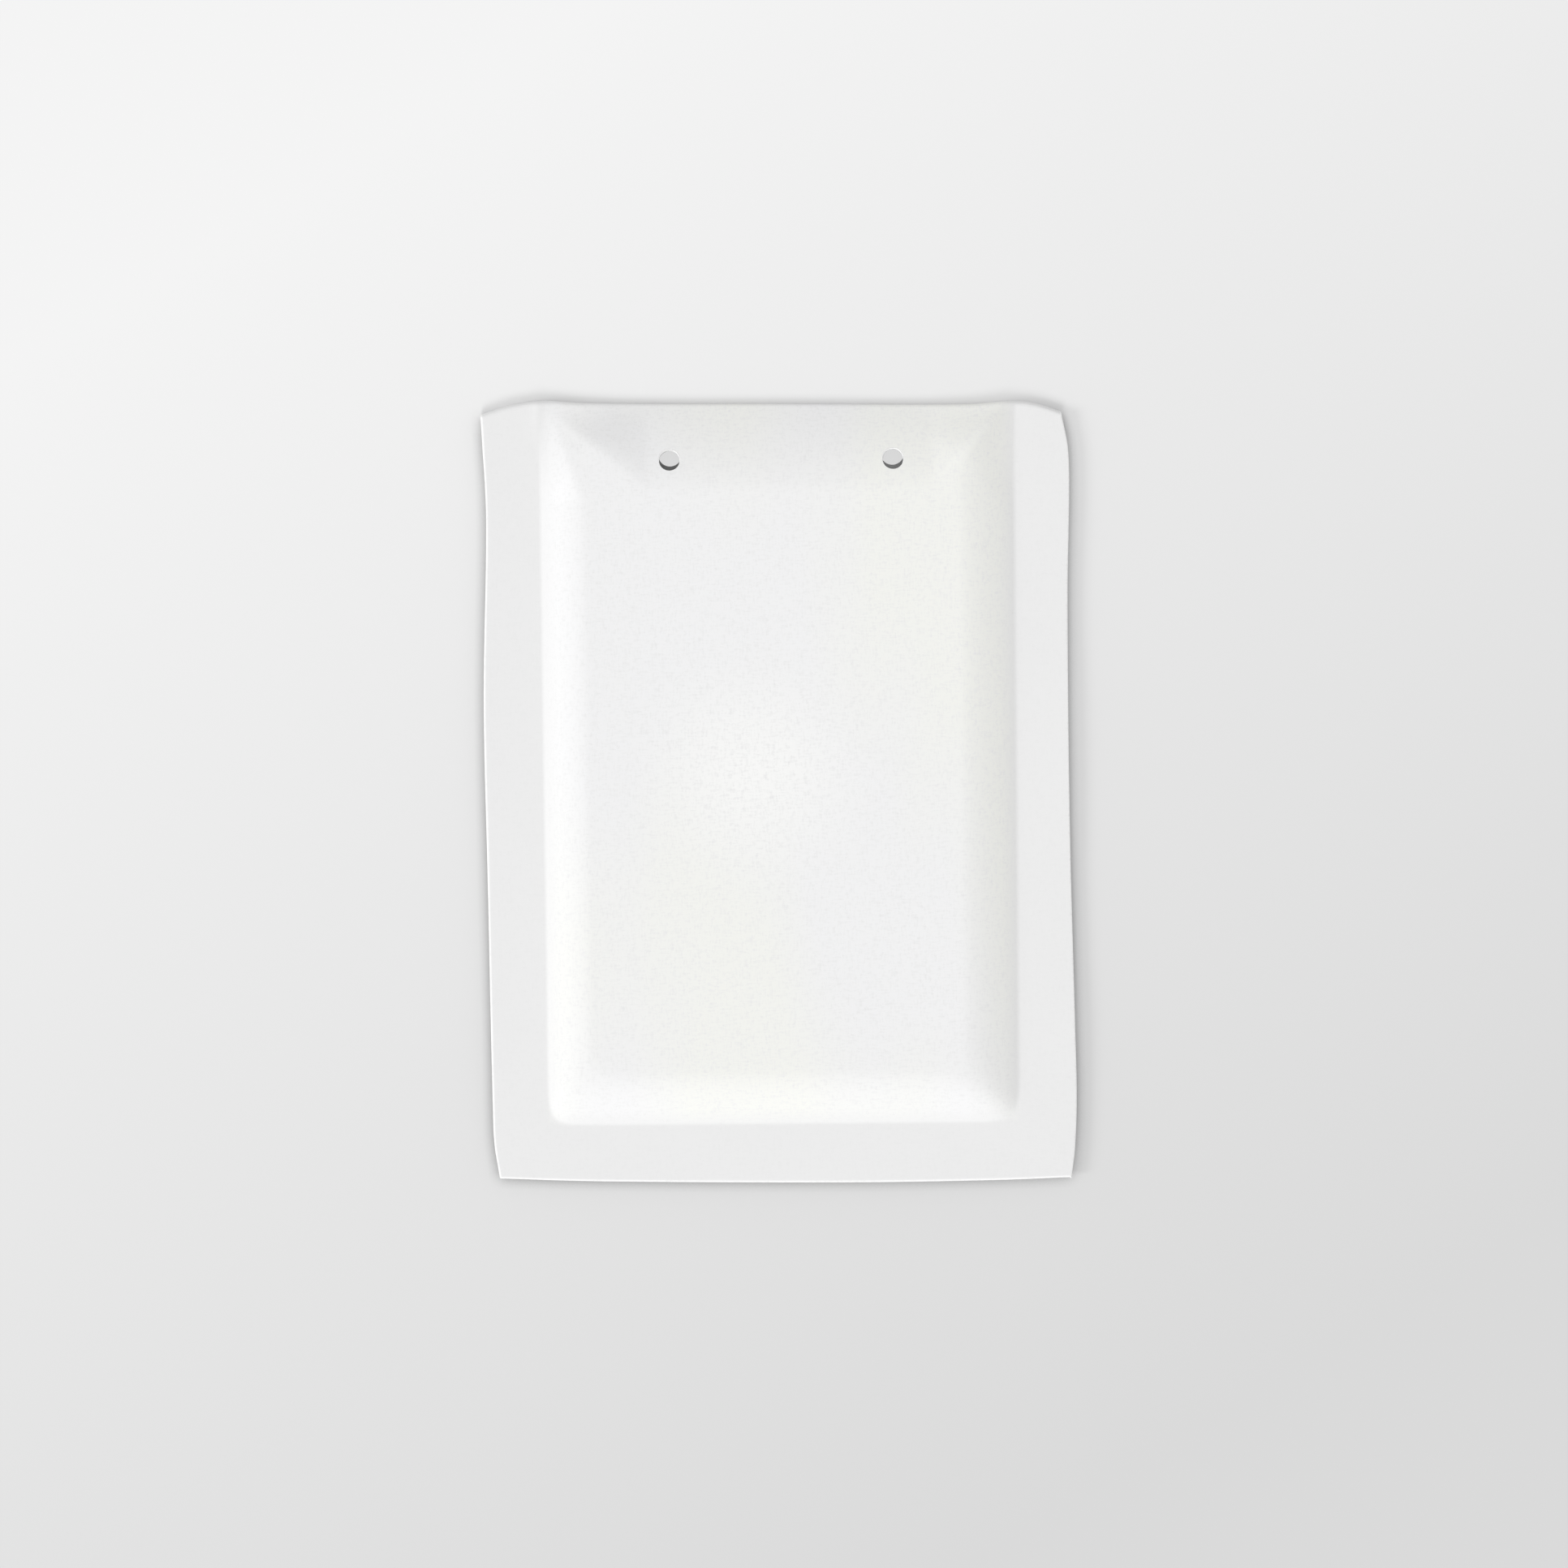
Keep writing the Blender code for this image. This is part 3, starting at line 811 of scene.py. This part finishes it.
def makeLining(name, facing, punches, film):
    item = makeFilm(name, facing, punches)
    group, sockets = bubbleTree(film)
    blowing = item.modifiers.new("bubbles", "NODES")
    blowing.node_group = group
    sizes = {"Pitch": bubbles["pitch"], "Diameter": bubbles["diameter"], "Height": bubbles["height"],
             "Least Room": bubbles["leastRoom"], "Hole Room": bubbles["holeRoom"],
             "Bluntness": bubbles["bluntness"], "Facing": float(facing)}
    for socketName, size in sizes.items():
        blowing[sockets[socketName].identifier] = size
    settle(item, film)
    # no bubble reaches through the film towards the paper
    for vert in item.data.vertices:
        face = filmFace(*unplace(vert.co.x, vert.co.y), facing)
        if (vert.co.z - face) * facing < -1e-6:
            vert.co.z = face + facing * bubbles["film"] / 2
    return item


paper = paperMaterial("white_paper", paperLook)
punches = makePunches()
frontPaper = makeFrontSheet(punches, paper)
backPaper = makeBackSheet(punches, paper)
print("paper sheets made")

film = filmMaterial("bubble_film", filmLook)
frontLining = makeLining("front_film", -1, punches, film)
backLining = makeLining("back_film", 1, punches, film)
for hole in punches:
    bpy.data.objects.remove(hole)
print("bubble film linings made")


for piece, node, slotName in ((frontPaper, "front_sheet", "white_paper"),
                              (backPaper, "back_sheet", "white_paper"),
                              (frontLining, "front_bubble_lining", "bubble_film"),
                              (backLining, "back_bubble_lining", "bubble_film")):
    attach(piece, "root")
    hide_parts(node)

for node, material in (("adhesive_strip", glueMaterial("glue", glueLook)),
                       ("release_liner", linerMaterial("liner_paper", linerLook))):
    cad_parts[node].data.materials.clear()
    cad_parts[node].data.materials.append(material)


# floor, light and camera

floorLook = {
    "light": (0.900, 0.900, 0.900, 1.0),
    "dark": (0.698, 0.698, 0.698, 1.0),
    "reach": 0.32,
    "size": 3.0,
    "drop": 0.0001,             # below the lowest paper
    # painted light: share of the floor's own colour that the camera sees whatever the light, at the left and
    # right edges; more on the right, where it lightens the envelope's shadow
    "glow": {"left": 0.0, "right": 0.16},
    "holeGlow": 0.81,           # the same under the punched holes: painted light that makes the floor seen through them pale
    "holeRadius": 0.0034,
    "holeRise": 0.0021,         # how far the glowing spot lies above the hole's centre
    # painted shadow: the floor's colour is darkened by ambient occlusion in a thin line where the envelope
    # nearly touches it, fading out before the folded edge
    "paintedContactShadow": 0.88,
    "contactReach": 0.0042,
    "contactEnd": 0.1120,
    "contactFade": 0.008,
}


def makeFloor(look):
    half = look["size"] / 2
    rows = [[(x, y, -look["drop"]) for x in (-half, half)] for y in (-half, half)]
    item = addObject("floor", gridMesh("floor", rows))
    material, tree, shader = newMaterial("pale_floor", {"Roughness": 0.9, "Specular IOR Level": 0.0})
    point = tree.node("ShaderNodeTexCoord", output="Object")
    x = tree.node("ShaderNodeSeparateXYZ", {}, {0: point})
    y = tree.other(x, 1)
    # painted light falloff: lighter at the top left, darker towards the bottom right
    share = tree.clamp((x * 0.37 - y * 0.63) / look["reach"] + 0.5)
    colour = tree.mixColour(share, look["light"], look["dark"])
    # painted contact shadow: ambient occlusion darkens the floor's colour near the envelope
    openShare = tree.node("ShaderNodeAmbientOcclusion", {"samples": 4}, {"Distance": look["contactReach"]}, 1)
    belowTop = tree.clamp((look["contactEnd"] - y) / look["contactFade"])
    paintedContactShadow = (1 - openShare) * belowTop * look["paintedContactShadow"]
    feed(tree, shader, "Base Color", tree.mixColour(paintedContactShadow, colour, (0.0, 0.0, 0.0, 1.0)))
    # painted light: a glowing spot on the floor under each punched hole
    spots = 0.0
    for side in (-1, 1):
        middleX, middleY = holeCentre(side)
        spot = (middleX, middleY + look["holeRise"], -look["drop"])
        spots = spots + (tree.distance(point, spot) < look["holeRadius"])
    # painted light: the floor glows more towards the right, lightening the shadow there
    across = tree.clamp(x / envelope["width"] + 0.5)
    glow = look["glow"]["left"] + across * (look["glow"]["right"] - look["glow"]["left"])
    # what the camera sees itself, or by a glossy or a see-through ray
    rays = tree.node("ShaderNodeLightPath")
    seen = tree.clamp(rays + tree.other(rays, 3) + tree.other(rays, 6))
    plain = tree.node("ShaderNodeEmission", {}, {"Color": colour})
    mixed = tree.node("ShaderNodeMixShader", {},
                      {0: seen * (glow + spots * (look["holeGlow"] - glow)),
                       1: Value(tree, shader.outputs[0]), 2: plain})
    tree.nodeTree.links.new(mixed.socket, material.node_tree.get_output_node("ALL").inputs["Surface"])
    item.data.materials.append(material)


lighting = {
    "sky": 0.702,
    # degrees from +X, degrees above the floor, angular size and strength of each soft lamp
    "lamps": {"leftLamp": (194, 28, 18, 0.90), "lowLamp": (258, 42, 24, 0.80)},
}


def makeLight(look):
    world = bpy.data.worlds.new("studio")
    bpy.context.scene.world = world
    world.use_nodes = True
    world.node_tree.nodes.clear()
    tree = Tree(world.node_tree)
    sky = tree.node("ShaderNodeBackground", {}, {"Color": (1, 1, 1, 1), "Strength": look["sky"]})
    tree.node("ShaderNodeOutputWorld", {}, {0: sky})
    for name, (azimuth, elevation, size, strength) in look["lamps"].items():
        lamp = bpy.data.lights.new(name, "SUN")
        lamp.energy = strength
        lamp.angle = math.radians(size)
        around = math.radians(azimuth)
        above = math.radians(elevation)
        level = math.cos(above)
        towards = Vector((math.cos(around) * level, math.sin(around) * level, math.sin(above)))
        addObject(name, lamp).rotation_euler = towards.to_track_quat("Z", "Y").to_euler()


cameraLook = {
    "distance": 1.2,
    "viewWidth": 0.4515,
    "centre": (0.0024, 0.0026),
    "turn": -0.45,              # degrees
    "sensor": 36.0,
}


def makeCamera(look):
    data = bpy.data.cameras.new("camera")
    data.sensor_width = look["sensor"]
    data.lens = look["sensor"] * look["distance"] / look["viewWidth"]
    item = addObject("camera", data)
    item.location = (*look["centre"], look["distance"])
    item.rotation_euler = (0, 0, math.radians(look["turn"]))
    bpy.context.scene.camera = item


makeFloor(floorLook)
makeLight(lighting)
makeCamera(cameraLook)
bpy.context.scene.view_settings.view_transform = "Standard"
print("floor, light and camera made")
